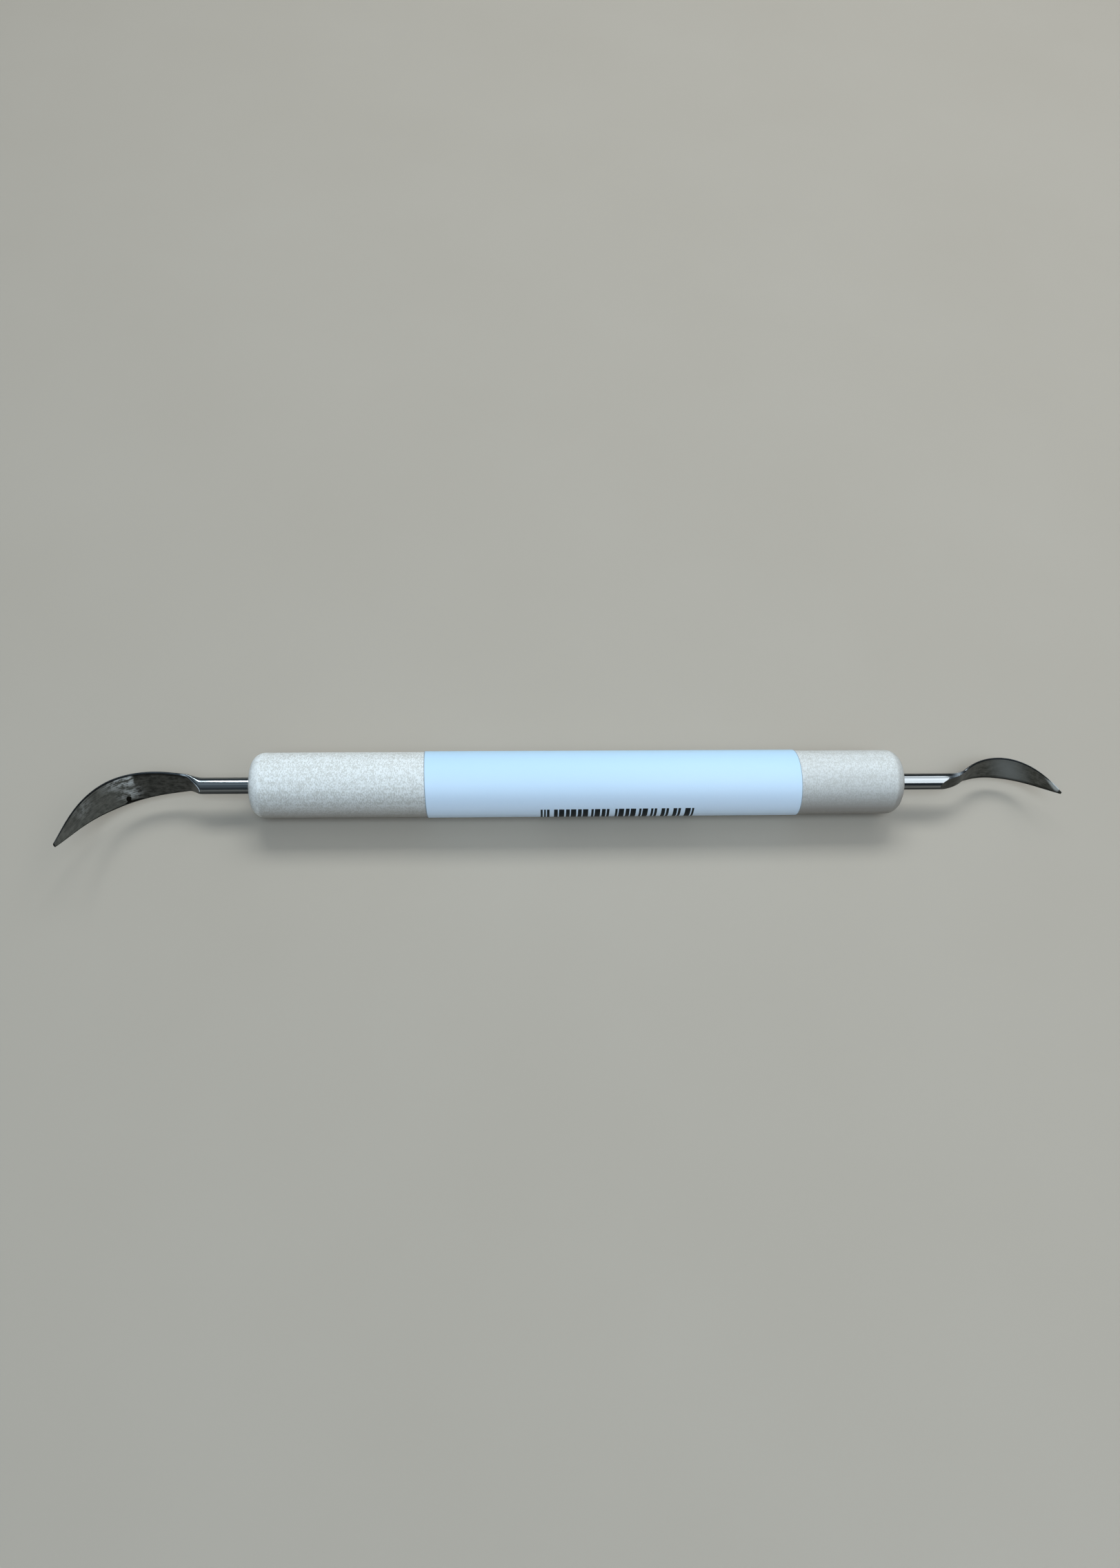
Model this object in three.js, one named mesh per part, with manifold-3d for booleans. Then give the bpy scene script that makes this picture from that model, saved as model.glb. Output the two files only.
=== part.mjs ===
// A double-ended pottery clean-up tool: a turned wooden handle with a forged steel blade in each end.
// Millimetres. X runs along the handle, with the small blade at +X and the large one at -X.
// +Z is up. Both ground faces look towards -Y and a little upwards.
// The origin is on the flat that the tool lies on, under the middle of the handle.

import * as THREE from "three";
import { mergeVertices } from "three/addons/utils/BufferGeometryUtils.js";
import Module from "manifold-3d";

// Handle: half-inch dowel, five inches long
const handleLength = 127;
const handleDiameter = 12.7;
const handleEndRound = 2.6;
const boreDepth = 22;
const drillPointAngle = 118;

// Paper label, wrapped once round the dowel with its loose edge at the back
const labelWidth = 72.7;
const labelLeftEdge = -30.2;
const labelPaper = 0.12;
const labelGap = 0.03;
const labelSkewAngle = 1.8;
const labelSeamAngle = -120;
const labelOverlapFacets = 3;

// Eighth-inch steel rod, the glue round its tang and the drilled hole
const rodDiameter = 3.175;
const tangDepth = 20;
const tangChamfer = 0.4;
const glueThickness = 0.12;
const glueSetBack = 0.15;
const fitGap = 0.05;

// How far the blades' ground faces are turned up from level
const faceTilt = 22;

// Large blade
const largeShankLength = 9.65;
const largeLeafLength = 31;
const largeForgeStart = 0;
const largeForgeLength = 3.2;
const largeNeckPlace = 0.2;
const largeNeckWidth = rodDiameter;
const largeWidth = 6.95;
const largeWidestPlace = 15.7;
const largeShoulder = 0.54;
const largeTaper = 1.59;
const largeTipWidth = 0.9;
const largeThickness = 1.15;
const largeTipThickness = 0.5;
const largeBendStart = 3.1;
const largeBendLength = 25.2;
const largeBendAngle = 76.9;
const largeRampStart = 0.2;
const largeRampAngle = 44;

// Small blade, whose neck is cranked back before the leaf curls forward
const smallShankLength = 7.5;
const smallLeafLength = 27.4;
const smallForgeStart = 1.6;
const smallForgeLength = 6.5;
const smallNeckPlace = 7.6;
const smallNeckWidth = 2.75;
const smallWidth = 5.32;
const smallWidestPlace = 16;
const smallShoulder = 0.38;
const smallTaper = 1.8;
const smallTipWidth = 0.5;
const smallThickness = 0.98;
const smallTipThickness = 0.35;
const smallCrankStart = 3.4;
const smallCrankLength = 5.7;
const smallCrankAngle = 45;
const smallBendStart = 3.5;
const smallBendLength = 23.3;
const smallBendAngle = 103;
const smallRampStart = 1;
const smallRampAngle = 25;

// The share of a blade's thickness that the grinding leaves, measured from its back,
// and how softly the wheel's ramp across the rod runs into the leaf's face
const groundShare = 0.72;
const rampBlend = 0.12;

// How finely the curves are cut, and how close two corners are when they count as one
const handleSides = 32;
const rodSides = 20;
const leafSteps = 44;
const arcSteps = 8;
const cornerTolerance = 1e-5;

const radians = THREE.MathUtils.degToRad;
const rodRadius = rodDiameter / 2;
const handleRadius = handleDiameter / 2;
const labelInnerRadius = handleRadius + labelGap;
const labelOuterRadius = labelInnerRadius + labelPaper;
const axisHeight = labelOuterRadius * Math.cos(Math.PI / handleSides);

// The corner radius of a many-sided hole that leaves a round of this radius free
const holeRadius = (radius, sides) => radius / Math.cos(Math.PI / sides);
const glueInnerRadius = holeRadius(rodRadius + fitGap, rodSides);
const glueOuterRadius = glueInnerRadius + glueThickness;
const boreRadius = holeRadius(glueOuterRadius + fitGap, handleSides);

const drillPoint = (radius) => radius / Math.tan(radians(drillPointAngle / 2));

const wasm = await Module();
wasm.setup();

// A closed three.js geometry as a solid that can be cut
function solidOf(geometry) {
  const bare = geometry.clone();
  bare.deleteAttribute("normal");
  bare.deleteAttribute("uv");
  const merged = mergeVertices(bare, cornerTolerance);
  const vertProperties = new Float32Array(merged.attributes.position.array);
  const triVerts = new Uint32Array(merged.index.array);
  return new wasm.Manifold(new wasm.Mesh({ numProp: 3, vertProperties, triVerts }));
}

function geometryOf(solid) {
  const { numProp, vertProperties, triVerts } = solid.getMesh();
  const places = new THREE.InterleavedBuffer(vertProperties, numProp);
  const geometry = new THREE.BufferGeometry();
  geometry.setAttribute("position", new THREE.InterleavedBufferAttribute(places, 3, 0));
  geometry.setIndex(new THREE.BufferAttribute(triVerts, 1));
  geometry.computeVertexNormals();
  return geometry;
}

// A closed skin over rings that all have the same number of points
function loft(rings) {
  const count = rings[0].length;
  const middleOf = (ring) => {
    const middle = new THREE.Vector3();
    ring.forEach((point) => middle.addScaledVector(point, 1 / count));
    return middle;
  };
  const points = rings.flat();
  const first = points.push(middleOf(rings[0])) - 1;
  const last = points.push(middleOf(rings.at(-1))) - 1;
  const faces = [];
  for (let row = 0; row < rings.length - 1; row++) {
    for (let side = 0; side < count; side++) {
      const next = (side + 1) % count;
      const [a, b] = [row * count + side, row * count + next];
      const [c, d] = [a + count, b + count];
      faces.push(a, b, d, a, d, c);
    }
  }
  const end = (rings.length - 1) * count;
  for (let side = 0; side < count; side++) {
    const next = (side + 1) % count;
    faces.push(first, next, side);
    faces.push(last, end + side, end + next);
  }
  const geometry = new THREE.BufferGeometry().setFromPoints(points);
  geometry.setIndex(faces);
  return geometry;
}

// A turned piece on the X axis, from a profile of [distance along X, radius]
function turned(profile, sides) {
  const points = profile.map(([along, radius]) => new THREE.Vector2(radius, along));
  return new THREE.LatheGeometry(points, sides, Math.PI / sides).rotateZ(-Math.PI / 2);
}

// Dowel turned with round ends, and drilled from each end with a pointed drill
function handleGeometry() {
  const half = handleLength / 2;
  const bottom = half - boreDepth;
  const rightEnd = [];
  for (let step = 0; step <= arcSteps; step++) {
    const angle = (step / arcSteps) * (Math.PI / 2);
    const along = half - handleEndRound * (1 - Math.sin(angle));
    const radius = handleRadius - handleEndRound * (1 - Math.cos(angle));
    rightEnd.push([along, radius]);
  }
  rightEnd.push([half, boreRadius], [bottom, boreRadius], [bottom - drillPoint(boreRadius), 0]);
  const leftEnd = rightEnd.map(([along, radius]) => [-along, radius]).reverse();
  return turned([...leftEnd, ...rightEnd], handleSides);
}

// Label: one strip of paper that starts at the seam and runs once round and over its own start
function labelGeometry() {
  const step = (2 * Math.PI) / handleSides;
  const skew = Math.tan(radians(labelSkewAngle));
  const firstCorner = Math.round(radians(labelSeamAngle) / step - 0.5) + 0.5;
  const rings = [];
  for (let corner = 0; corner <= handleSides + labelOverlapFacets; corner++) {
    const angle = (firstCorner + corner) * step;
    const lift = corner < handleSides ? 0 : labelPaper + labelGap;
    const left = labelLeftEdge + skew * labelOuterRadius * angle;
    const right = left + labelWidth;
    const at = (along, radius) =>
      new THREE.Vector3(along, -Math.sin(angle) * radius, Math.cos(angle) * radius);
    const inner = labelInnerRadius + lift;
    const outer = labelOuterRadius + lift;
    rings.push([at(left, inner), at(right, inner), at(right, outer), at(left, outer)]);
  }
  return loft(rings);
}

// Glue: a thin cup in the drilled hole, round the tang and under its end
function glueGeometry() {
  const floor = -tangDepth - fitGap;
  const bottom = -boreDepth + fitGap;
  const profile = [
    [floor, 0],
    [floor, glueInnerRadius],
    [-glueSetBack, glueInnerRadius],
    [-glueSetBack, glueOuterRadius],
    [bottom, glueOuterRadius],
    [bottom - drillPoint(glueOuterRadius), 0],
  ];
  return turned(profile.reverse(), rodSides);
}

const ease = (value) => THREE.MathUtils.smoothstep(value, 0, 1);

// The line that a blade is bent along, as points with their direction. It starts on the rod's axis.
function bentLine(blade) {
  const slopeAt = (along) => {
    const crank = blade.crankAngle * ease((along - blade.crankStart) / blade.crankLength);
    const bend = blade.bendAngle * ease((along - blade.bendStart) / blade.bendLength);
    return radians(bend - crank);
  };
  const line = [];
  const place = new THREE.Vector2(blade.shankLength, 0);
  const step = blade.leafLength / leafSteps;
  for (let index = 0; index <= leafSteps; index++) {
    const along = index * step;
    const slope = slopeAt(along);
    const forward = new THREE.Vector2(Math.cos(slope), Math.sin(slope));
    line.push({ along, forward, out: new THREE.Vector2(-forward.y, forward.x), place: place.clone() });
    const middle = slopeAt(along + step / 2);
    place.add(new THREE.Vector2(Math.cos(middle), Math.sin(middle)).multiplyScalar(step));
  }
  return line;
}

function widthAt(blade, along) {
  if (along < blade.neckPlace) {
    const share = ease((along - blade.forgeStart) / (blade.neckPlace - blade.forgeStart));
    return THREE.MathUtils.lerp(rodDiameter, blade.neckWidth, share);
  }
  if (along < blade.widestPlace) {
    const share = ease((along - blade.neckPlace) / (blade.widestPlace - blade.neckPlace));
    return THREE.MathUtils.lerp(blade.neckWidth, blade.width, share ** blade.shoulder);
  }
  const share = (along - blade.widestPlace) / (blade.leafLength - blade.widestPlace);
  return THREE.MathUtils.lerp(blade.width, blade.tipWidth, share ** blade.taper);
}

function thicknessAt(blade, along) {
  const forgeEnd = blade.forgeStart + blade.forgeLength;
  if (along < forgeEnd) {
    const share = ease((along - blade.forgeStart) / blade.forgeLength);
    return THREE.MathUtils.lerp(rodDiameter, blade.thickness, share);
  }
  const share = (along - forgeEnd) / (blade.leafLength - forgeEnd);
  return THREE.MathUtils.lerp(blade.thickness, blade.tipThickness, share);
}

// Forged blank: round tang and shank, then a leaf that stays level with the rod's back
function blankGeometry(blade, line) {
  const ring = (place, out, width, thickness) => {
    const centre = place.clone().addScaledVector(out, thickness / 2 - rodRadius);
    return Array.from({ length: rodSides }, (unused, side) => {
      const angle = (-side / rodSides) * 2 * Math.PI;
      const height = (thickness / 2) * Math.sin(angle);
      const at = centre.clone().addScaledVector(out, height);
      return new THREE.Vector3(at.x, at.y, (width / 2) * Math.cos(angle));
    });
  };
  const up = new THREE.Vector2(0, 1);
  const narrow = rodDiameter - 2 * tangChamfer;
  const tangEnd = new THREE.Vector2(-tangDepth, 0);
  const tangEndRing = ring(tangEnd, up, narrow, narrow);
  tangEndRing.forEach((point) => point.setY(point.y + tangChamfer));
  const rings = [
    tangEndRing,
    ring(tangEnd.clone().setX(-tangDepth + tangChamfer), up, rodDiameter, rodDiameter),
  ];
  for (const { along, out, place } of line) {
    rings.push(ring(place, out, widthAt(blade, along), thicknessAt(blade, along)));
  }
  return loft(rings);
}

// How high above the rod's middle line the wheel passes: down a ramp, then along the leaf's face
function wheelHeight(blade, along) {
  const face = groundShare * thicknessAt(blade, along) - rodRadius;
  const ramp = rodRadius - (along - blade.rampStart) * Math.tan(radians(blade.rampAngle));
  return (face + ramp) / 2 + Math.hypot((face - ramp) / 2, rampBlend);
}

// What the grinding wheel takes away: all that lies in front of its path. The path begins
// above the shank, and its ramp leaves a ridge across the rod.
function grindGeometry(blade, line) {
  const { forward, out } = line[0];
  const early = blade.rampStart - rodRadius;
  const place = new THREE.Vector2(blade.shankLength + early, 0);
  const path = [{ along: early, forward, out, place }, ...line];
  const outline = path.map((row) =>
    row.place.clone().addScaledVector(row.out, wheelHeight(blade, row.along)),
  );
  const last = line.at(-1);
  const beyond = outline.at(-1).clone().addScaledVector(last.forward, blade.tipWidth + rodRadius);
  outline.push(beyond);
  outline.push(beyond.clone().addScaledVector(last.out, rodDiameter));
  outline.push(outline[0].clone().addScaledVector(out, rodDiameter));
  const depth = blade.width + rodDiameter;
  const shape = new THREE.Shape(outline);
  const cutter = new THREE.ExtrudeGeometry(shape, { depth, bevelEnabled: false });
  return cutter.translate(0, 0, -depth / 2);
}

function bladeGeometry(blade) {
  const line = bentLine(blade);
  const blank = solidOf(blankGeometry(blade, line));
  return geometryOf(blank.subtract(solidOf(grindGeometry(blade, line))));
}

// The large blade's rod runs straight into its leaf
const straightNeck = { crankStart: 0, crankLength: 1, crankAngle: 0 };

const largeBlade = {
  ...straightNeck,
  shankLength: largeShankLength,
  leafLength: largeLeafLength,
  forgeStart: largeForgeStart,
  forgeLength: largeForgeLength,
  neckPlace: largeNeckPlace,
  neckWidth: largeNeckWidth,
  width: largeWidth,
  widestPlace: largeWidestPlace,
  shoulder: largeShoulder,
  taper: largeTaper,
  tipWidth: largeTipWidth,
  thickness: largeThickness,
  tipThickness: largeTipThickness,
  bendStart: largeBendStart,
  bendLength: largeBendLength,
  bendAngle: largeBendAngle,
  rampStart: largeRampStart,
  rampAngle: largeRampAngle,
};

const smallBlade = {
  shankLength: smallShankLength,
  leafLength: smallLeafLength,
  forgeStart: smallForgeStart,
  forgeLength: smallForgeLength,
  neckPlace: smallNeckPlace,
  neckWidth: smallNeckWidth,
  width: smallWidth,
  widestPlace: smallWidestPlace,
  shoulder: smallShoulder,
  taper: smallTaper,
  tipWidth: smallTipWidth,
  thickness: smallThickness,
  tipThickness: smallTipThickness,
  crankStart: smallCrankStart,
  crankLength: smallCrankLength,
  crankAngle: smallCrankAngle,
  bendStart: smallBendStart,
  bendLength: smallBendLength,
  bendAngle: smallBendAngle,
  rampStart: smallRampStart,
  rampAngle: smallRampAngle,
};

const wood = new THREE.MeshStandardMaterial({ color: 0xd8cabb, roughness: 0.75, metalness: 0 });
const paper = new THREE.MeshStandardMaterial({ color: 0xe6ebf7, roughness: 0.6, metalness: 0 });
const glue = new THREE.MeshStandardMaterial({ color: 0xcfc7a4, roughness: 0.4, metalness: 0 });
const steel = new THREE.MeshStandardMaterial({ color: 0x8a8f93, roughness: 0.3, metalness: 1 });

function piece(name, geometry, material) {
  const mesh = new THREE.Mesh(geometry, material);
  mesh.name = name;
  return mesh;
}

// One end's steel and glue, laid out from the end face of the handle outwards
function handleEnd(name, blade) {
  const end = new THREE.Group();
  end.add(piece(name + "_blade", bladeGeometry(blade), steel.clone()));
  end.add(piece(name + "_tang_glue", glueGeometry(), glue.clone()));
  return end;
}

const largeEnd = handleEnd("large", largeBlade);
largeEnd.rotation.set(-radians(faceTilt), 0, Math.PI);
largeEnd.position.x = -handleLength / 2;

const smallEnd = handleEnd("small", smallBlade);
smallEnd.rotation.set(Math.PI - radians(faceTilt), 0, 0);
smallEnd.position.x = handleLength / 2;

const tool = new THREE.Group();
tool.add(piece("handle", handleGeometry(), wood));
tool.add(piece("paper_label", labelGeometry(), paper));
tool.add(largeEnd, smallEnd);
tool.position.z = axisHeight;

export default tool;
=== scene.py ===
import math

import bmesh
import bpy
from mathutils import Matrix, Vector


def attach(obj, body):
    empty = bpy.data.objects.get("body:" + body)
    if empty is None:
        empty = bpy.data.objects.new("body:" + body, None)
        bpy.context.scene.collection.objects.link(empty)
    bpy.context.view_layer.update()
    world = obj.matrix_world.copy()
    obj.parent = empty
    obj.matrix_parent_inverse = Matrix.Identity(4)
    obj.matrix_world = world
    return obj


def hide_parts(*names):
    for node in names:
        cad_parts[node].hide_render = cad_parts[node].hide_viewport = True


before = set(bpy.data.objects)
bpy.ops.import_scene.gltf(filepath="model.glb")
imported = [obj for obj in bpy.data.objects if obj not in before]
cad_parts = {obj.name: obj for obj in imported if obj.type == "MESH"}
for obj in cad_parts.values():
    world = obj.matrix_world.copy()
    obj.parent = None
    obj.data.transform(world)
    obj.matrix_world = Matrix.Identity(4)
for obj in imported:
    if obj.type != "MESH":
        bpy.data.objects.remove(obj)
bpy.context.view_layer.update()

# Camera: held above the tool, a little to the left of its middle and turned
# slightly, with the wide lens of a small camera. Its places are in millimetres.
mm = 0.001
frame_height_pixels = 2274
focal_pixels = 1500
sensor_side = 36
view_tilt = math.radians(62)
view_turn = math.radians(6.75)
view_roll = math.radians(5.62)
target = Vector((-0.87, 0, 6.469))
target_ahead = 203.7
target_right = 3.123
target_above = 0.081

ahead = Vector((
    math.sin(view_turn) * math.cos(view_tilt),
    math.cos(view_turn) * math.cos(view_tilt),
    -math.sin(view_tilt),
))
level = Vector((math.cos(view_turn), -math.sin(view_turn), 0))
upright = level.cross(ahead)
rightward = math.cos(view_roll) * level + math.sin(view_roll) * upright
upward = math.cos(view_roll) * upright - math.sin(view_roll) * level
camera_place = target - target_ahead * ahead - target_right * rightward - target_above * upward

bpy.ops.object.camera_add(location=camera_place * mm)
camera = bpy.context.object
camera.rotation_euler = Matrix((rightward, upward, -ahead)).transposed().to_euler()
camera.data.sensor_width = sensor_side
camera.data.lens = focal_pixels * sensor_side / frame_height_pixels
camera.data.clip_start = 10 * mm
bpy.context.scene.camera = camera

# Floor: a plain pale table top in matt paint, wide enough to fill the view. It
# lies at the lowest line of the round label, a hair below the CAD's flat.
floor_side = 8
floor_drop = 0.03 * mm
floor_dark = (0.415, 0.355, 0.29, 1)
floor_pale = (0.44, 0.38, 0.315, 1)


class Level:
    """What a node gives for each point of a surface. Numbers can be used in sums."""

    def __init__(self, finish, socket):
        self.finish = finish
        self.socket = socket

    def maths(self, operation, *others):
        return self.finish.maths(operation, self, *others)

    def __add__(self, other):
        return self.maths("ADD", other)

    def __sub__(self, other):
        return self.maths("SUBTRACT", other)

    def __rsub__(self, other):
        return self.finish.maths("SUBTRACT", other, self)

    def __mul__(self, other):
        return self.maths("MULTIPLY", other)

    def __truediv__(self, other):
        return self.maths("DIVIDE", other)

    def __rtruediv__(self, other):
        return self.finish.maths("DIVIDE", other, self)

    def __gt__(self, other):
        return self.maths("GREATER_THAN", other)

    def __lt__(self, other):
        return self.maths("LESS_THAN", other)

    __radd__ = __add__
    __rmul__ = __mul__


class Finish:
    """The look of a material or of the room, made node by node."""

    def __init__(self, look, shader="Principled BSDF"):
        look.use_nodes = True
        self.look = look
        self.nodes = look.node_tree.nodes
        self.shader = self.nodes[shader]

    def set(self, node, sockets):
        for key, value in sockets.items():
            if isinstance(value, Level):
                self.look.node_tree.links.new(value.socket, node.inputs[key])
            else:
                node.inputs[key].default_value = value

    def node(self, kind, settings=None, sockets=None, output=0):
        made = self.nodes.new("ShaderNode" + kind)
        for key, value in (settings or {}).items():
            setattr(made, key, value)
        self.set(made, sockets or {})
        return Level(self, made.outputs[output])

    def maths(self, operation, *values):
        return self.node("Math", {"operation": operation}, dict(enumerate(values)))

    def place(self):
        """The place of each point of the object, in metres."""
        return self.node("TexCoord", output="Object")

    def axis(self, place, letter):
        return self.node("SeparateXYZ", {}, {"Vector": place}, letter)

    def note(self, name):
        """A number that the mesh keeps for each place."""
        return self.node("Attribute", {"attribute_name": name}, output="Fac")

    def noise(self, place, times, detail=3, roughness=0.5):
        """Speckle from 0 to 1, which changes so many times in a millimetre along X, Y and Z."""
        scale = [each / mm for each in times]
        spread = self.node("Mapping", {}, {"Vector": place, "Scale": scale})
        sockets = {"Vector": spread, "Scale": 1, "Detail": detail, "Roughness": roughness}
        return self.node("TexNoise", {}, sockets)

    def between(self, value, low, high, start=0, end=1):
        """value brought from low...high to start...end, with soft ends."""
        sockets = {"Value": value, 1: low, 2: high, 3: start, 4: end}
        return self.node("MapRange", {"interpolation_type": "SMOOTHSTEP"}, sockets)

    def fading(self, value, low, high):
        """1 where value is up to low, 0 from high on, and soft between."""
        return self.between(value, low, high, 1, 0)

    def blend(self, share, first, second):
        return self.node("Mix", {"data_type": "RGBA"}, {0: share, 6: first, 7: second}, output=2)

    def bump(self, height, distance, strength):
        sockets = {"Height": height, "Distance": distance, "Strength": strength}
        return self.node("Bump", {}, sockets)


floor_paint = Finish(bpy.data.materials.new("pale_floor"))
floor_cloud = floor_paint.noise(floor_paint.place(), (0.02, 0.02, 0.02))
floor_paint.set(floor_paint.shader, {
    "Base Color": floor_paint.blend(floor_cloud, floor_dark, floor_pale),
    "Roughness": 0.85,
    "Specular IOR Level": 0.2,
})

bpy.ops.object.select_all(action="DESELECT")
bpy.ops.mesh.primitive_plane_add(size=floor_side, location=(0, 0, -floor_drop))
floor = bpy.context.object
floor.name = "floor"
floor.data.materials.append(floor_paint.look)

# Light: a room that is dim at eye level and pale overhead, one soft lamp above
# and behind the tool, a fill lamp over the camera, and a long window-like lamp
# overhead to the right, which the small blade's rod mirrors.
room_tint = (0.70, 0.87, 1, 1)
dim_level = 0.06
overhead_level = 0.26
dim_rise = 0.35
overhead_rise = 0.95

world = bpy.context.scene.world or bpy.data.worlds.new("room")
bpy.context.scene.world = world
room = Finish(world, "Background")
rise = room.axis(room.node("TexCoord", output="Generated"), "Z")
room.set(room.shader, {
    "Color": room_tint,
    "Strength": room.between(rise, dim_rise, overhead_rise, dim_level, overhead_level),
})


def soft_lamp(name, place, aimed, size, energy, color):
    """A rectangular lamp that faces a point. Places and its two sides are in metres."""
    bpy.ops.object.light_add(type="AREA", location=place)
    lamp = bpy.context.object
    lamp.name = name
    lamp.rotation_euler = (Vector(place) - Vector(aimed)).to_track_quat("Z", "Y").to_euler()
    lamp.data.shape = "RECTANGLE"
    lamp.data.size, lamp.data.size_y = size
    lamp.data.energy = energy
    lamp.data.color = color
    lamp.visible_camera = False


soft_lamp(
    "key_lamp", place=(0, 0.51, 0.74), aimed=(0, 0, 0),
    size=(0.6, 0.26), energy=4.5, color=(0.84, 0.94, 1),
)
soft_lamp(
    "fill_lamp", place=(0, -0.34, 0.77), aimed=(0, 0, 0),
    size=(0.36, 0.36), energy=3.55, color=(0.65, 0.83, 1),
)
soft_lamp(
    "side_lamp", place=(0.42, 0.1, 0.62), aimed=(0.42, 0.1, 0),
    size=(0.28, 1.56), energy=2.8, color=(0.90, 0.96, 1),
)

bpy.context.scene.view_settings.view_transform = "Standard"

# Handle: a half-inch dowel of pale close-grained wood, five inches long. It is
# turned, sanded round at both ends and drilled from each end for a tang.
handle_length = 127 * mm
handle_half = handle_length / 2
handle_radius = 6.35 * mm
handle_sides = 144
axis_height = 6.4689 * mm
end_round = 2.6 * mm
round_steps = 14
bore_radius = 1.837 * mm
bore_depth = 22 * mm
drill_slope = math.tan(math.radians(118 / 2))
drill_point = bore_radius / drill_slope
smooth_angle = math.radians(40)
turned_to_x = (0, math.pi / 2, 0)


def start_edit(action="DESELECT"):
    """Opens the piece in hand in edit mode, with nothing selected, or all of it by "SELECT"."""
    bpy.ops.object.mode_set(mode="EDIT")
    bpy.ops.mesh.select_mode(type="VERT")
    bpy.ops.mesh.select_all(action=action)


def mesh_in_hand():
    return bmesh.from_edit_mesh(bpy.context.object.data)


def pick(kind, wanted):
    """Selects the edges or faces for which wanted is true, and nothing else."""
    bpy.ops.mesh.select_all(action="DESELECT")
    bpy.ops.mesh.select_mode(type=kind)
    mesh = mesh_in_hand()
    for part in {"EDGE": mesh.edges, "FACE": mesh.faces}[kind]:
        if wanted(part):
            part.select = True
    mesh.select_flush_mode()
    bmesh.update_edit_mesh(bpy.context.object.data)


def extrude(x, y=0):
    """Draws out what is selected, x along the handle and y across it."""
    bpy.ops.mesh.extrude_region_move(TRANSFORM_OT_translate={"value": (x, y, 0)})


def settle(name):
    """Ends a piece: faces outward, its place kept in its mesh, round surfaces smooth, and its name."""
    piece = bpy.context.object
    start_edit("SELECT")
    bpy.ops.mesh.normals_make_consistent(inside=False)
    bpy.ops.object.mode_set(mode="OBJECT")
    bpy.ops.object.transform_apply(location=True, rotation=True, scale=True)
    bpy.ops.object.shade_smooth_by_angle(angle=smooth_angle)
    piece.name = name
    return piece


bpy.ops.object.select_all(action="DESELECT")
bpy.ops.mesh.primitive_cylinder_add(
    vertices=handle_sides, radius=handle_radius, depth=handle_length,
    location=(0, 0, axis_height), rotation=turned_to_x)
bpy.ops.object.transform_apply(location=False, rotation=True, scale=True)
start_edit()
pick("EDGE", lambda edge: abs(sum(corner.co.x for corner in edge.verts)) > handle_half)
bpy.ops.mesh.bevel(offset=end_round, segments=round_steps, profile=0.5, affect="EDGES")
for side in (-1, 1):
    pick("FACE", lambda face: len(face.verts) > 4 and face.calc_center_median().x * side > 0)
    bpy.ops.mesh.inset(thickness=handle_radius - end_round - bore_radius)
    extrude(-side * bore_depth)
    extrude(-side * drill_point)
    bpy.ops.mesh.merge(type="CENTER")
handle = settle("handle_dowel")

wood_dark = (0.60, 0.575, 0.525, 1)
wood_pale = (0.86, 0.85, 0.82, 1)
# The next two: the pale end grain, partly painted light, and the grey used for painted shade.
wood_end_grain_lit = (0.88, 0.875, 0.85, 1)
wood_grey_and_shade = (0.33, 0.30, 0.27, 1)
rim_place = 61.3
rim_width = 0.3
lit_side = (0.24, 0.97)

wood = Finish(bpy.data.materials.new("pale_turned_wood"))
wood_place = wood.place()
wood_along = wood.axis(wood_place, "X") * (1 / mm)
wood_back = wood.axis(wood_place, "Y") * (1 / mm)
wood_up = (wood.axis(wood_place, "Z") - axis_height) * (1 / mm)

# The speckle of fine pores, a little weaker towards the small blade.
pores = wood.noise(wood_place, (5, 2.6, 2.6), roughness=0.6)
flecks = wood.noise(wood_place, (1.5, 0.8, 0.8), detail=4, roughness=0.6)
grain = wood.noise(wood_place, (0.05, 1.4, 1.4), roughness=0.6)
speckle = wood.between(pores * 0.6 + flecks * 0.25 + grain * 0.15, 0.42, 0.58)
speckle = 0.5 + (speckle - 0.5) * wood.between(wood_along, -10, 60, 1, 0.75)

# The cut end grain and the sanded rim round it: pale at the large blade's end, partly its own tone and
# partly painted light, and greyed at the small blade's end as painted shade.
ragged = wood_along.maths("ABSOLUTE") + (flecks - 0.5) * 1.2
end_grain = wood.between(ragged, rim_place, rim_place + 2 * rim_width) * 0.4
rim = wood.fading((ragged - rim_place).maths("ABSOLUTE"), 0, rim_width) * 0.5
at_left = wood.fading(wood_along, -10, 10)
end_grain_and_painted_light = (end_grain * at_left).maths("MAXIMUM", rim * at_left)

# Painted shade: greyed along its lower side in front, away from the lamps. Towards the small blade it is
# greyer, partly its own tone and partly painted shade, except on its most lit side. The direction below
# points back and up, to the side that light falls on most.
raised = (wood_back * lit_side[0] + wood_up * lit_side[1]) * (mm / handle_radius)
painted_shade_below = wood.between(raised, -0.5, 0.8, 0.8, 0)
grey_and_shade_right = wood.between(wood_along, 0, 50, 0, 0.36) * wood.fading(raised, 0.6, 1.4)
grey_and_painted_shade = (painted_shade_below + grey_and_shade_right) * (1 - end_grain * at_left * 2) + end_grain * (1 - at_left) * 0.8

unshaded_wood = wood.blend(end_grain_and_painted_light, wood.blend(speckle, wood_dark, wood_pale), wood_end_grain_lit)
wood.set(wood.shader, {
    "Base Color": wood.blend(grey_and_painted_shade, unshaded_wood, wood_grey_and_shade),
    "Roughness": wood.between(flecks, 0.3, 0.7, 0.5, 0.68),
    "Normal": wood.bump(pores * 0.6 + flecks * 0.4, 0.03 * mm, 0.5),
    "Specular IOR Level": 0.4,
})
handle.data.materials.append(wood.look)
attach(handle, "root")
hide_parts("handle")

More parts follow.
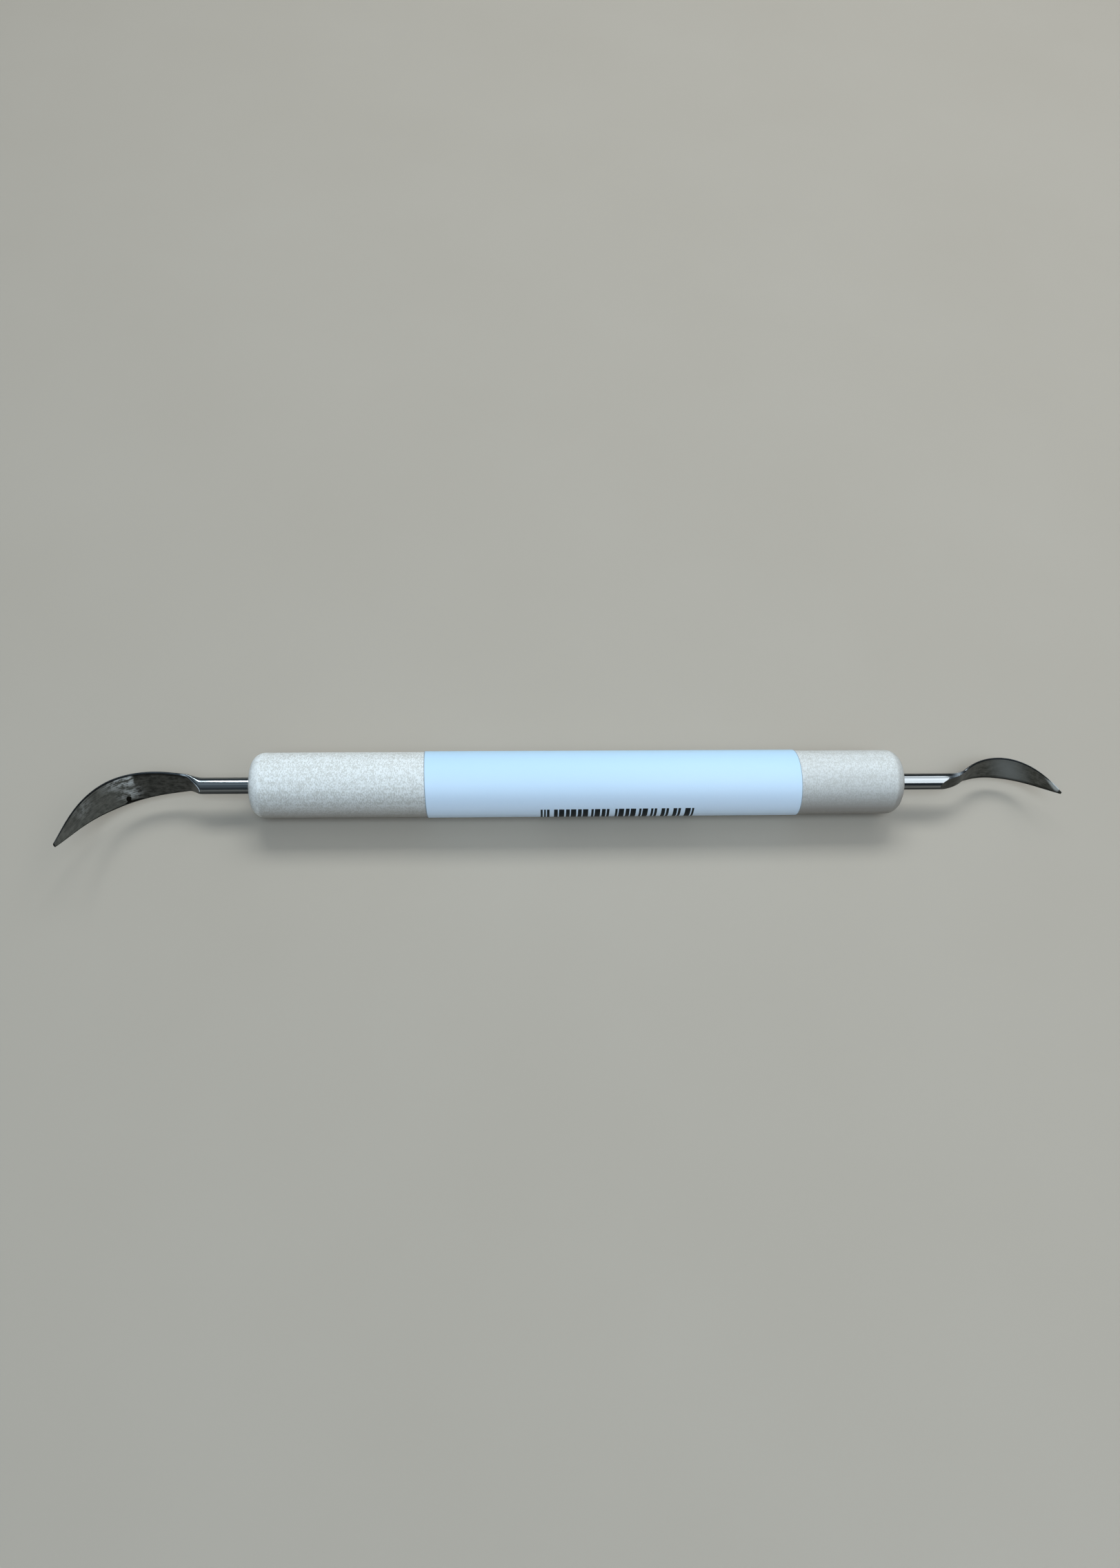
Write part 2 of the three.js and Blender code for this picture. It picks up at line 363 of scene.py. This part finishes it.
# Blades: two eighth-inch steel rods. Each rod's end is forged to a thin leaf,
# bent, and ground on the front, where the wheel leaves a ridge across the rod.
# The rod stays polished, and the forged and ground steel is dark.
rod_radius = 3.175 / 2
rod_sides = 72
tang_depth = 20
tang_chamfer = 0.4
face_tilt = math.radians(22)
ground_share = 0.72
ramp_blend = 0.12
leaf_steps = 88
weld_distance = 0.008

# Lengths of the blades are in millimetres, above and here. Angles of these two are in degrees,
# and a place is a distance along the leaf.
large = dict(
    shank=9.65, leaf=31, forge_start=0, forge_length=3.2, neck_place=0.2, neck_width=3.175,
    width=6.95, widest_place=15.7, shoulder=0.54, taper=1.59, tip_width=0.9,
    thickness=1.15, tip_thickness=0.5, crank_start=0, crank_length=1, crank_angle=0,
    bend_start=3.1, bend_length=25.2, bend_angle=76.9, ramp_start=0.2, ramp_angle=44,
)
small = dict(
    shank=7.5, leaf=27.4, forge_start=1.6, forge_length=6.5, neck_place=7.6, neck_width=2.75,
    width=5.32, widest_place=16, shoulder=0.38, taper=1.8, tip_width=0.5,
    thickness=0.98, tip_thickness=0.35, crank_start=3.4, crank_length=5.7, crank_angle=45,
    bend_start=3.5, bend_length=23.3, bend_angle=103, ramp_start=1, ramp_angle=25,
)


def ease(share):
    share = min(max(share, 0), 1)
    return share * share * (3 - 2 * share)


def mix(first, second, share):
    return first + (second - first) * share


def width_at(blade, along):
    neck, widest = blade["neck_place"], blade["widest_place"]
    if along < neck:
        share = ease((along - blade["forge_start"]) / (neck - blade["forge_start"]))
        return mix(2 * rod_radius, blade["neck_width"], share)
    if along < widest:
        share = ease((along - neck) / (widest - neck)) ** blade["shoulder"]
        return mix(blade["neck_width"], blade["width"], share)
    share = min((along - widest) / (blade["leaf"] - widest), 1) ** blade["taper"]
    return mix(blade["width"], blade["tip_width"], share)


def thickness_at(blade, along):
    forge_end = blade["forge_start"] + blade["forge_length"]
    if along < forge_end:
        share = ease((along - blade["forge_start"]) / blade["forge_length"])
        return mix(2 * rod_radius, blade["thickness"], share)
    share = (along - forge_end) / (blade["leaf"] - forge_end)
    return mix(blade["thickness"], blade["tip_thickness"], share)


def slope_at(blade, along):
    crank = blade["crank_angle"] * ease((along - blade["crank_start"]) / blade["crank_length"])
    bend = blade["bend_angle"] * ease((along - blade["bend_start"]) / blade["bend_length"])
    return math.radians(bend - crank)


def wheel_height(blade, along):
    """How high above the rod's middle the wheel passes: down a ramp, then along the leaf's face."""
    face = ground_share * thickness_at(blade, along) - rod_radius
    ramp = rod_radius - (along - blade["ramp_start"]) * math.tan(math.radians(blade["ramp_angle"]))
    return (face + ramp) / 2 + math.hypot((face - ramp) / 2, ramp_blend)


def bent_line(blade):
    """For each step along the leaf: how far along it is, where the rod's middle goes, and its slope."""
    step = blade["leaf"] / leaf_steps
    place = Vector((blade["shank"], 0, 0))
    line = []
    for index in range(leaf_steps + 1):
        along = index * step
        line.append((along, place.copy(), slope_at(blade, along)))
        middle = slope_at(blade, along + step / 2)
        place += Vector((math.cos(middle), math.sin(middle), 0)) * step
    return line


def along_and_above(line, point):
    """How far along a bent line a point lies, and how high above it."""
    along, place, slope = min(line, key=lambda row: (row[1] - point).xy.length_squared)
    away = point - place
    forward = away.x * math.cos(slope) + away.y * math.sin(slope)
    return along + forward, away.y * math.cos(slope) - away.x * math.sin(slope)


def start_disc(radius, x, height):
    """Adds a round end face across the handle's axis, ready to be drawn out."""
    bpy.ops.object.select_all(action="DESELECT")
    bpy.ops.mesh.primitive_circle_add(
        vertices=rod_sides, radius=radius, fill_type="NGON",
        location=(x, 0, height), rotation=turned_to_x)
    bpy.ops.object.transform_apply(location=True, rotation=True, scale=True)
    start_edit("SELECT")


def draw_out(to, high, wide, now):
    """Extrudes the end face to x = to, and brings it to a height and width, level with the rod's back."""
    x, was_high, was_wide = now
    extrude((to - x) * mm)
    bpy.ops.transform.resize(
        value=(1, high / was_high, wide / was_wide),
        center_override=(to * mm, -rod_radius * mm, 0))
    return (to, high, wide)


def picked_verts():
    return [corner.index for corner in mesh_in_hand().verts if corner.select]


def pick_verts(indices):
    bpy.ops.mesh.select_all(action="DESELECT")
    mesh = mesh_in_hand()
    mesh.verts.ensure_lookup_table()
    for index in indices:
        mesh.verts[index].select = True
    mesh.select_flush_mode()


def bend(rings):
    """Turns each ring of a straight bar to its slope, and moves it to its place on the bent line."""
    for ring, straight, place, slope in rings:
        pick_verts(ring)
        bpy.ops.transform.rotate(
            value=-slope, orient_axis="Z", orient_type="GLOBAL",
            center_override=(straight * mm, 0, 0))
        bpy.ops.transform.translate(value=(place - Vector((straight, 0, 0))) * mm)


def forged_blank(blade):
    """A rod whose tang has a chamfered end, with its other end drawn out to a leaf and bent."""
    full = 2 * rod_radius
    narrow = full - 2 * tang_chamfer
    start_disc(narrow / 2 * mm, -tang_depth * mm, 0)
    extrude(tang_chamfer * mm)
    bpy.ops.transform.resize(value=(1, full / narrow, full / narrow), center_override=(0, 0, 0))
    now = (tang_chamfer - tang_depth, full, full)
    rings = []
    for along, place, slope in bent_line(blade):
        straight = blade["shank"] + along
        now = draw_out(straight, thickness_at(blade, along), width_at(blade, along), now)
        rings.append((picked_verts(), straight, place, slope))
    bend(rings)
    bpy.ops.object.mode_set(mode="OBJECT")
    return bpy.context.object


def wheel_path(blade):
    """What the wheel takes off: a bar that is bent like the blade. Its underside is the finished face."""
    shank = blade["shank"]
    bar_height = 6 * rod_radius
    bar_width = blade["width"] + 2 * rod_radius
    early = blade["ramp_start"] - rod_radius
    line = [(early, Vector((shank + early, 0, 0)), 0)] + bent_line(blade)
    tip, tip_place, tip_slope = line[-1]
    rows = [(along, along, place, slope) for along, place, slope in line]
    rows.append((tip + 2 * rod_radius, tip, tip_place, tip_slope))
    rings = []
    for along, pivot, place, slope in rows:
        x = (shank + along) * mm
        low = wheel_height(blade, pivot) * mm
        if rings:
            extrude(x - last_x, low - last_low)
        else:
            bpy.ops.object.select_all(action="DESELECT")
            bpy.ops.mesh.primitive_plane_add(
                size=1, location=(x, low + bar_height * mm / 2, 0), rotation=turned_to_x)
            bpy.ops.transform.resize(value=(1, bar_height * mm, bar_width * mm))
            bpy.ops.object.transform_apply(location=True, rotation=True, scale=True)
            start_edit("SELECT")
        last_x = x
        last_low = low
        rings.append((picked_verts(), shank + pivot, place, slope))
    bend(rings)
    bpy.ops.mesh.select_all(action="SELECT")
    bpy.ops.mesh.normals_make_consistent(inside=False)
    bpy.ops.object.mode_set(mode="OBJECT")
    return bpy.context.object


def grind(blank, wheel):
    """Takes the wheel's path off the blank. The new faces get the wheel's material."""
    bpy.ops.object.select_all(action="DESELECT")
    bpy.context.view_layer.objects.active = blank
    blank.select_set(True)
    cut = blank.modifiers.new("grinding", "BOOLEAN")
    cut.operation = "DIFFERENCE"
    cut.object = wheel
    cut.material_mode = "TRANSFER"
    bpy.ops.object.modifier_apply(modifier=cut.name)
    bpy.data.objects.remove(wheel)
    start_edit("SELECT")
    bpy.ops.mesh.remove_doubles(threshold=weld_distance * mm)
    pick("EDGE", lambda edge: len({face.material_index for face in edge.link_faces}) > 1)
    bpy.ops.mesh.mark_sharp()
    bpy.ops.object.mode_set(mode="OBJECT")


def note_places(piece, blade, up):
    """Keeps where each vertex is on the blade, in millimetres, as numbers that the finishes read.

    across is more than 0 on the upper side of the blade as it lies.
    """
    line = bent_line(blade)
    rows = []
    for vertex in piece.data.vertices:
        point = vertex.co / mm
        along, above = along_and_above(line, point)
        below_wheel = wheel_height(blade, along) - above
        rows.append((along, up * point.z, below_wheel, width_at(blade, along) / 2))
    names = ("along", "across", "below_wheel", "half_width")
    for name, values in zip(names, zip(*rows)):
        piece.data.attributes.new(name, "FLOAT", "POINT").data.foreach_set("value", values)


# Pale steel colour of the painted highlights.
painted_highlight_steel = (0.85, 0.90, 0.93, 1)
scale_black = (0.018, 0.019, 0.020, 1)
scale_grey = (0.045, 0.047, 0.048, 1)
large_polish = (0.22, 0.24, 0.255, 1), (0.49, 0.51, 0.52, 1)
small_polish = (0.18, 0.19, 0.20, 1), (0.41, 0.425, 0.435, 1)
# Large leaf tones: the paler end tones and the bright tint below are painted reflections.
large_root_tones = (0.040, 0.042, 0.041, 1), (0.115, 0.118, 0.114, 1)
large_end_tones = (0.100, 0.107, 0.105, 1), (0.19, 0.20, 0.197, 1)
large_reflection = (0.80, 0.88, 0.97, 1)
# Colour of the dark stain and of the painted edge shade.
large_stain_and_edge_shade = (0.010, 0.010, 0.009, 1)
small_leaf_tones = (0.062, 0.065, 0.060, 1), (0.142, 0.146, 0.139, 1)
# Colours of the small leaf's painted reflections.
small_band_reflection = (0.27, 0.30, 0.32, 1)
small_tip_reflection = (0.52, 0.58, 0.63, 1)
small_edges = (0.014, 0.014, 0.013, 1)


def spot(finish, along, across, middle, reach):
    """From 1 in the middle of a soft oval to 0 at its edge. middle and reach are along and across."""
    far_along = (along - middle[0]) / reach[0]
    far_across = (across - middle[1]) / reach[1]
    return finish.fading((far_along * far_along + far_across * far_across).maths("SQRT"), 0, 1)


def rod_steel(name, polish, bright_to, dark_from, painted_gleam):
    """Steel with fine drawn lines: polished, dark where it is forged, and painted darker along its lower
    side as a painted reflection of the dim room and floor below.

    polish is its two tones. It is bright up to bright_to and dark from dark_from, in millimetres
    along the blade, and the last argument says where a highlight is painted on it.
    """
    steel = Finish(bpy.data.materials.new(name))
    place = steel.place()
    along, across, below = steel.note("along"), steel.note("across"), steel.note("below_wheel")
    lines = steel.noise(place, (0.02, 3, 3), roughness=0.6)
    scale = steel.noise(place, (0.9, 0.9, 0.9), detail=4, roughness=0.6)
    forged = steel.between(along + (scale - 0.5) * 1.5, bright_to, dark_from)
    # Painted reflection: the lower side is painted dark, as a dim floor mirrored in it.
    painted_dark_underside = steel.fading(across, -0.45, 0.2) * 0.75
    dark = forged.maths("MAXIMUM", painted_dark_underside)
    # Painted highlights: where the steel is painted pale and less metallic, as light caught on it.
    gleam_painted = painted_gleam(steel, along, across, below)
    polished = steel.blend(steel.between(lines, 0.42, 0.56), *polish)
    scaled = steel.blend(scale, scale_black, scale_grey)
    steel.set(steel.shader, {
        "Base Color": steel.blend(gleam_painted, steel.blend(dark, polished, scaled), painted_highlight_steel),
        "Metallic": 1 - gleam_painted * 0.7,
        "Roughness": steel.between(dark.maths("MAXIMUM", gleam_painted), 0, 1, 0.11, 0.45),
        "Normal": steel.bump(lines, 0.01 * mm, 0.5),
        "Specular Tint": (0.3, 0.31, 0.32, 1),
    })
    return steel.look


def large_painted_highlight(steel, along, across, below):
    """A painted highlight: a bright line along the upper part of the ridge that the wheel leaves across
    the rod.
    """
    ridge = steel.fading(below, 0.04, 0.14) * steel.fading(along, 3, 4.2)
    return ridge * steel.between(across, -0.4, 0) * steel.between(across, 0.8, 1.3, 1, 0.45)


def small_painted_highlight(steel, along, across, below):
    """Painted highlights: a faint patch on the top of the neck, and the bright side of the tip."""
    shoulder = spot(steel, along, across, middle=(5.2, 1.3), reach=(2.2, 0.9)) * 0.5
    tip = steel.between(along, 24, 25.6) * steel.fading(along, 26.6, 27) * 0.6
    return shoulder.maths("MAXIMUM", tip)


def ground_steel(name, marks):
    """Dark steel with fine grinding lines along the leaf. marks paints what is bright or stained on it."""
    steel = Finish(bpy.data.materials.new(name))
    along, across, half_width = steel.note("along"), steel.note("across"), steel.note("half_width")
    flat = steel.node("CombineXYZ", {}, {"X": along * mm, "Y": across * mm})
    lines = steel.noise(flat, (0.3, 5, 1), roughness=0.65)
    cloud = steel.noise(flat, (0.8, 1.1, 1), detail=4, roughness=0.65)
    mottle = steel.between(cloud * 0.6 + lines * 0.4, 0.38, 0.62)
    steel.set(steel.shader, {
        "Base Color": marks(steel, along, across, half_width, cloud, mottle),
        "Metallic": 1.0,
        "Roughness": steel.between(cloud, 0.3, 0.7, 0.32, 0.42),
        "Normal": steel.bump(lines, 0.006 * mm, 0.5),
    })
    return steel.look


def large_marks(steel, along, across, half_width, cloud, mottle):
    """A paler leaf end and bright patches that stop short at a line, painted reflections; dark edges,
    painted shade; and a dark stain.
    """
    # Painted reflections: the paler leaf end beyond a line, and bright streaked patches.
    reflection_line = 12.15
    root = steel.blend(mottle, *large_root_tones)
    leaf_end = steel.blend(mottle, *large_end_tones)
    beyond = steel.between(along - reflection_line - (cloud - 0.5) * 1.2, -0.05, 0.3)
    streaks = steel.between(mottle, 0.15, 0.85)
    painted_reflection = beyond * streaks * spot(steel, along, across, middle=(12.9, 2.5), reach=(6.2, 3.0))
    low_painted_reflection = streaks * spot(steel, along, across, middle=(13.4, -0.8), reach=(2.9, 2.5)) * 0.62
    tip_reflection = streaks * spot(steel, along, across, middle=(22.2, 1.2), reach=(3.2, 3.2)) * 0.2
    painted_gleam = painted_reflection.maths("MAXIMUM", low_painted_reflection).maths("MAXIMUM", tip_reflection)
    gleam_painted = steel.blend(painted_gleam, steel.blend(beyond, root, leaf_end), large_reflection)
    # Painted shade: dark bands along both edges, where the edge bevels face away from the light.
    top_band = steel.fading(half_width - across, 0.45, 0.95) * steel.fading(along, 11.5, 12.5)
    low_line = steel.fading(half_width + across, 0.1, 0.35)
    stain = spot(steel, along, across, middle=(13.9, -2.1), reach=(0.8, 1.1))
    run = spot(steel, along, across, middle=(13.0, -3), reach=(3, 0.55))
    stained = steel.between(stain + run + (cloud - 0.5) * 0.6, 0.3, 0.55)
    dark = (top_band.maths("MAXIMUM", low_line) * 0.75).maths("MAXIMUM", stained)
    return steel.blend(dark, gleam_painted, large_stain_and_edge_shade)


def small_marks(steel, along, across, half_width, cloud, mottle):
    """Painted reflections: a faint bluish band aslant across the leaf, and a bright tip with a dark end;
    and dark edges, painted shade.
    """
    band_slant = 0.45
    tip_slant = 0.55
    plain = steel.blend(mottle, *small_leaf_tones)
    # Painted reflections: the bluish band across the leaf and the bright tip.
    band = spot(steel, along + across * band_slant, across, middle=(17.2, 0), reach=(4.8, 8)) * 0.8
    banded = steel.blend(band, plain, small_band_reflection)
    tip = steel.between(across + (along - 24.5) * tip_slant, 0.3, 1)
    tip = tip * steel.between(along, 23, 24.8) * steel.fading(along, 26.6, 27)
    bright = steel.blend(tip, banded, small_tip_reflection)
    # Painted shade: dark bands along the edges, where the edge bevels face away from the light.
    low_band = steel.fading(half_width + across, 0.2, 0.9) * steel.between(along, 6, 9) * 0.8
    top_line = steel.fading(half_width - across, 0.08, 0.25)
    top_line = top_line * steel.between(along, 7, 9) * steel.fading(along, 22, 24)
    neck = steel.fading(along, 4, 7) * 0.5
    dark = low_band.maths("MAXIMUM", top_line).maths("MAXIMUM", neck)
    return steel.blend(dark, bright, small_edges)


large_rod_steel = rod_steel("large_rod_steel", large_polish, 0.8, 4.5, painted_gleam=large_painted_highlight)
small_rod_steel = rod_steel("small_rod_steel", small_polish, 6, 9, painted_gleam=small_painted_highlight)
large_leaf_steel = ground_steel("large_leaf_steel", large_marks)
small_leaf_steel = ground_steel("small_leaf_steel", small_marks)

for name, blade, side, turn, rod_finish, leaf_finish in (
    ("large_blade", large, -1, (face_tilt, 0, math.pi), large_rod_steel, large_leaf_steel),
    ("small_blade", small, 1, (math.pi - face_tilt, 0, 0), small_rod_steel, small_leaf_steel),
):
    wheel = wheel_path(blade)
    blank = forged_blank(blade)
    blank.data.materials.append(rod_finish)
    wheel.data.materials.append(leaf_finish)
    grind(blank, wheel)
    note_places(blank, blade, -side)
    blank.rotation_euler = turn
    blank.location = (side * handle_half, 0, axis_height)
    piece = settle(name + "_steel")
    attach(piece, "root")
    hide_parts(name)

# Glue: clear resin that fills the thin space between each tang and its drilled
# hole. It is run in before the steel is pushed home, and stops just inside the hole.
fit_gap = 0.05 * mm
glue_thickness = 0.12 * mm
glue_inner = 1.658 * mm
glue_outer = glue_inner + glue_thickness
glue_depth = bore_depth - fit_gap
glue_set_back = 0.15 * mm
glue_well = tang_depth * mm + fit_gap
glue_point = glue_outer / drill_slope
resin_dark = (0.50, 0.46, 0.37, 1)
resin_pale = (0.60, 0.56, 0.46, 1)

resin = Finish(bpy.data.materials.new("cured_resin"))
haze = resin.noise(resin.place(), (0.8, 0.8, 0.8))
resin.set(resin.shader, {
    "Base Color": resin.blend(haze, resin_dark, resin_pale),
    "Roughness": resin.between(haze, 0.3, 0.7, 0.25, 0.4),
})

for name, side in (("large_tang_glue", -1), ("small_tang_glue", 1)):
    bottom = side * (handle_half - glue_depth)
    start_disc(glue_outer, bottom, axis_height)
    extrude(side * (glue_depth - glue_set_back))
    bpy.ops.mesh.inset(thickness=glue_thickness)
    extrude(side * (glue_set_back - glue_well))
    pick("FACE", lambda face: abs(face.calc_center_median().x - bottom) < fit_gap)
    extrude(-side * glue_point)
    bpy.ops.mesh.merge(type="CENTER")
    piece = settle(name + "_resin")
    piece.data.materials.append(resin.look)
    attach(piece, "root")
    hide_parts(name)

# Label: one strip of thin bluish-white paper, stuck once round the handle a
# little askew, with its loose edge lapped over its start at the back. The bars
# printed on it are a pattern that means nothing. Its lengths are in millimetres.
label_width = 72.7
label_left = -30.2
label_radius = 6.38
paper_thickness = 0.12
label_lift = 0.15
label_skew = math.tan(math.radians(1.8))
label_start = math.radians(-118.125)
label_wrap = math.radians(393.75)
strip_cuts = 35
wrap_steps = 140
lap_step = round(wrap_steps * 2 * math.pi / label_wrap)
lift_steps = 4

# One edge of the strip, drawn along the handle where the paper starts at the back.
bpy.ops.object.select_all(action="DESELECT")
bpy.ops.mesh.primitive_plane_add(size=1)
start_edit("SELECT")
bpy.ops.mesh.merge(type="CENTER")
bpy.ops.transform.translate(value=(
    (label_left + label_skew * label_radius * label_start) * mm,
    -math.sin(label_start) * label_radius * mm,
    math.cos(label_start) * label_radius * mm))
extrude(label_width * mm)
bpy.ops.mesh.select_all(action="SELECT")
bpy.ops.mesh.subdivide(number_cuts=strip_cuts)
bpy.ops.object.mode_set(mode="OBJECT")
label = bpy.context.object
edge_count = len(label.data.vertices)

# Winding it round the handle copies it step by step, so a vertex's number tells its step.
wrap = label.modifiers.new("wrap", "SCREW")
wrap.axis = "X"
wrap.angle = label_wrap
wrap.screw_offset = label_skew * label_radius * mm * label_wrap
wrap.steps = wrap.render_steps = wrap_steps
wrap.use_merge_vertices = False
bpy.ops.object.modifier_apply(modifier=wrap.name)

# The print's own places, in millimetres: along from the strip's left edge, and round from the top.
print_skew = math.tan(math.radians(0.4))
print_map = label.data.uv_layers.new(name="print")
for corner in label.data.loops:
    wound = label_start + corner.vertex_index // edge_count * label_wrap / wrap_steps
    arc = wound * label_radius
    x = label.data.vertices[corner.vertex_index].co.x / mm
    print_map.data[corner.index].uv = (x - label_left - label_skew * arc, arc + print_skew * x)

# The lap: the last part of the strip is lifted clear of the paper below it.
start_edit()
for step in range(lap_step - lift_steps + 1, wrap_steps + 1):
    pick_verts(range(step * edge_count, (step + 1) * edge_count))
    lift = label_lift * ease((step - lap_step + lift_steps) / lift_steps)
    grown = 1 + lift / label_radius
    bpy.ops.transform.resize(value=(1, grown, grown), center_override=(0, 0, 0))
bpy.ops.mesh.select_all(action="SELECT")
bpy.ops.mesh.flip_normals()
bpy.ops.transform.translate(value=(0, 0, axis_height))
bpy.ops.object.mode_set(mode="OBJECT")
sheet = label.modifiers.new("thickness", "SOLIDIFY")
sheet.thickness = paper_thickness * mm
sheet.offset = 1
bpy.ops.object.modifier_apply(modifier=sheet.name)
label = settle("label_paper_strip")

# Paper tones: darker on top and paler and bluer towards the front, as painted light and shade.
paper_above = (0.54, 0.72, 0.865, 1)
paper_in_front = (0.74, 0.86, 1, 1)
# Colour of the painted shadow line at the cut edges.
paper_edge_shadow = (0.3, 0.35, 0.4, 1)
ink = (0.008, 0.012, 0.015, 1)
bars_from, bars_to = 21.94, 51.77
bars_top, bars_bottom = 8.63, 25
cells = 12
cell_modules = 7
guard_modules = 3
guard_pitch = 2
guard_ink = 0.6
first_from = 0.7
first_thin_to, first_thick_to = 2.2, 3.8
last_thin_from, last_thick_from = 5.65, 4.8
first_seed, last_seed = 3.5, 40.5
first_thin_share, last_thin_share = 0.35, 0.4
edge_line = 0.08
modules = cells * cell_modules + 2 * guard_modules

paper = Finish(bpy.data.materials.new("label_paper"))
paper_place = paper.place()
printed = paper.node("UVMap", {"uv_map": "print"})
print_along = paper.axis(printed, "X")
print_round = paper.axis(printed, "Y")

# Each cell of the row holds two bars, and chance makes each of them thin or thick. Places in
# a cell are counted in modules.
counted = (print_along - bars_from) * (modules / (bars_to - bars_from))
in_cells = (counted - guard_modules) * (1 / cell_modules)
cell = in_cells.maths("FLOOR")
at = in_cells.maths("FRACT") * cell_modules
first_chance = paper.node("TexWhiteNoise", {"noise_dimensions": "1D"}, {"W": cell + first_seed})
last_chance = paper.node("TexWhiteNoise", {"noise_dimensions": "1D"}, {"W": cell + last_seed})
first_to = (first_chance > first_thin_share) * (first_thick_to - first_thin_to) + first_thin_to
last_from = last_thin_from - (last_chance > last_thin_share) * (last_thin_from - last_thick_from)
first_bar = (at > first_from) * (at < first_to)
last_bar = at > last_from

# A pair of thin guard bars stands at each end of the row.
from_end = counted.maths("MINIMUM", modules - counted)
guards = from_end < guard_modules
guard_bars = (from_end * (1 / guard_pitch)).maths("FRACT") < guard_ink
in_row = (print_along > bars_from) * (print_along < bars_to)
in_row = in_row * (print_round > bars_top) * (print_round < bars_bottom)
bars = in_row * ((1 - guards) * first_bar.maths("MAXIMUM", last_bar) + guards * guard_bars)

fibre = paper.noise(paper_place, (1.2, 1.2, 1.2), detail=4, roughness=0.7)
cast = paper.noise(paper_place, (0.03, 0.1, 0.1), detail=2)
# Painted light: the paper is painted paler towards its front and lower side, and darker on top.
painted_light_front = paper.between(print_round + cast * 2, -1, 9)
# Painted shadow: a thin dark line along both cut edges.
from_middle = (print_along - label_width / 2).maths("ABSOLUTE")
edge_shadow_line = paper.between(from_middle, label_width / 2 - 2 * edge_line, label_width / 2 - edge_line)
paper_with_painted_light = paper.blend(painted_light_front, paper_above, paper_in_front)
paper.set(paper.shader, {
    "Base Color": paper.blend(bars, paper.blend(edge_shadow_line, paper_with_painted_light, paper_edge_shadow), ink),
    "Roughness": paper.between(fibre, 0.3, 0.7, 0.5, 0.6),
    "Normal": paper.bump(fibre, 0.012 * mm, 0.4),
    "Specular IOR Level": 0.15,
})
label.data.materials.append(paper.look)
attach(label, "root")
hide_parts("paper_label")
